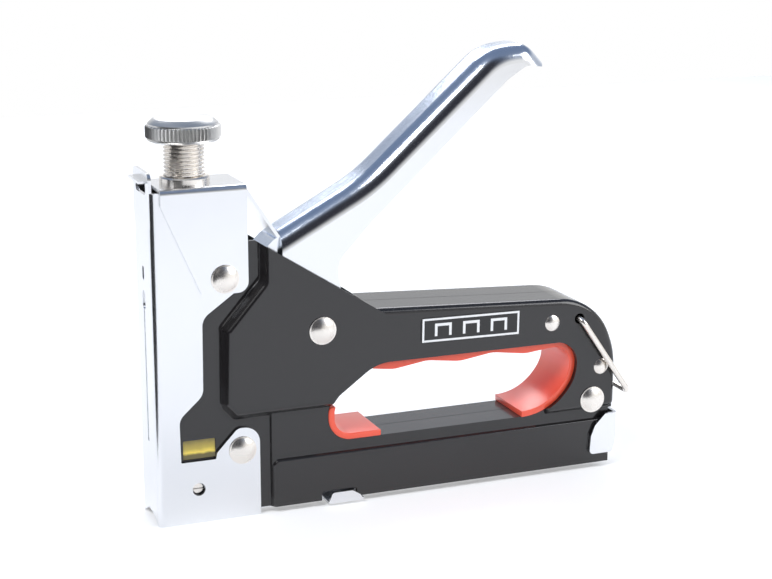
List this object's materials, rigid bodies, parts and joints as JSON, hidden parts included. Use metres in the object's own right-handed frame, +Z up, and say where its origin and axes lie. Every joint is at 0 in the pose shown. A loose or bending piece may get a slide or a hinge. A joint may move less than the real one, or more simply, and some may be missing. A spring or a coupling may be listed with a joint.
{
  "type": "staple gun",
  "caption": "Hand-squeezed staple gun with a pressed steel body, pivoting lever, adjustable power knob, spring striker, slide-out staple magazine and wire lever lock.",
  "frame": {"origin": "middle of the flat foot under the nose, on the face that the gun stands on", "axes": "+X from nose to tail, +Y to the gun's left, +Z up towards the power knob"},
  "size_m": [0.1748, 0.0306, 0.1527],
  "materials": {
    "black_lacquer": "gloss black stoving lacquer",
    "satin_chrome": "bright chrome, slightly satin",
    "lever_chrome": "bright chrome with orange peel",
    "nickel": "warm nickel plate",
    "knob_metal": "knurled, matt top",
    "hard_steel": "oiled hardened steel",
    "zinc_steel": "bright zinc",
    "spring_steel": "oiled spring wire",
    "red_grip": "soft moulded plastic, semi gloss",
    "amber_window": "clear amber plastic",
    "nylon": "natural nylon",
    "badge": "printed foil with a plain pictogram"
  },
  "bodies": {
    "frame": {"shell_right": "black_lacquer", "shell_left": "black_lacquer", "nose_jacket": "satin_chrome", "top_cap": "satin_chrome", "front_plate": "hard_steel", "nose_guide": "zinc_steel", "plunger_bumper": "nylon", "knob_collar": "nickel", "nose_studs": "nickel", "window_lenses": "amber_window", "magazine_channel": "satin_chrome", "staple_stick": "zinc_steel", "label_plate": "badge", "rear_grip_liner": "red_grip", "front_grip_liner": "red_grip", "cap_rivet": "nickel", "ear_rivet": "nickel", "tail_rivet": "nickel", "pivot_rivet": "nickel", "small_rivets": "nickel", "spacer_tubes": "zinc_steel", "main_spring": "spring_steel"},
    "lever": {"lever": "lever_chrome", "pivot_bush": "hard_steel", "lifter_arm": "hard_steel", "drive_pin": "hard_steel", "lever_spring": "spring_steel"},
    "striker": {"plunger": "hard_steel", "lift_pin": "hard_steel", "driver_blade": "hard_steel"},
    "seat": {"spring_seat": "zinc_steel"},
    "knob": {"power_knob": "knob_metal", "adjuster_screw": "nickel"},
    "pusher": {"rear_clip": "satin_chrome", "clip_rivet": "nickel", "magazine_rail": "zinc_steel", "rail_rod": "zinc_steel", "pusher_spring": "spring_steel"},
    "follower": {"follower": "hard_steel"},
    "bail": {"wire_bail": "nickel"}
  },
  "joints": [
    {"name": "lever_pivot", "type": "hinge", "parent": "frame", "child": "lever", "pos_m": [0.0373, 0, 0.062], "axis": [0, 1, 0], "range_deg": [0, 40], "stiffness_Nm_per_rad": 1.2, "springref_deg": -51.57},
    {"name": "striker_slide", "type": "slide", "parent": "frame", "child": "striker", "axis": [0, 0, 1], "range_m": [0, 0.0183], "deforming": ["main_spring"]},
    {"name": "knob_turn", "type": "hinge", "parent": "seat", "child": "knob", "pos_m": [-0.0048, 0, 0.12], "axis": [0, 0, 1], "range_deg": [-2306, 0]},
    {"name": "seat_slide", "type": "slide", "parent": "frame", "child": "seat", "axis": [0, 0, 1], "range_m": [-0.008, 0], "deforming": ["main_spring"]},
    {"name": "magazine_slide", "type": "slide", "parent": "frame", "child": "pusher", "axis": [1, 0, 0], "range_m": [0, 0.11]},
    {"name": "follower_slide", "type": "slide", "parent": "pusher", "child": "follower", "axis": [1, 0, 0], "range_m": [0, 0.06], "stiffness_N_per_m": 20, "springref_m": -0.06, "deforming": ["pusher_spring"]},
    {"name": "bail_hinge", "type": "hinge", "parent": "frame", "child": "bail", "pos_m": [0.1327, 0, 0.0566], "axis": [0, -1, 0], "range_deg": [0, 95]}
  ],
  "couplings": [
    {"joint": "striker_slide", "follows": "lever_pivot", "m_per_rad": 0.02607},
    {"joint": "knob_turn", "follows": "seat_slide", "rad_per_m": 5026.5}
  ]
}
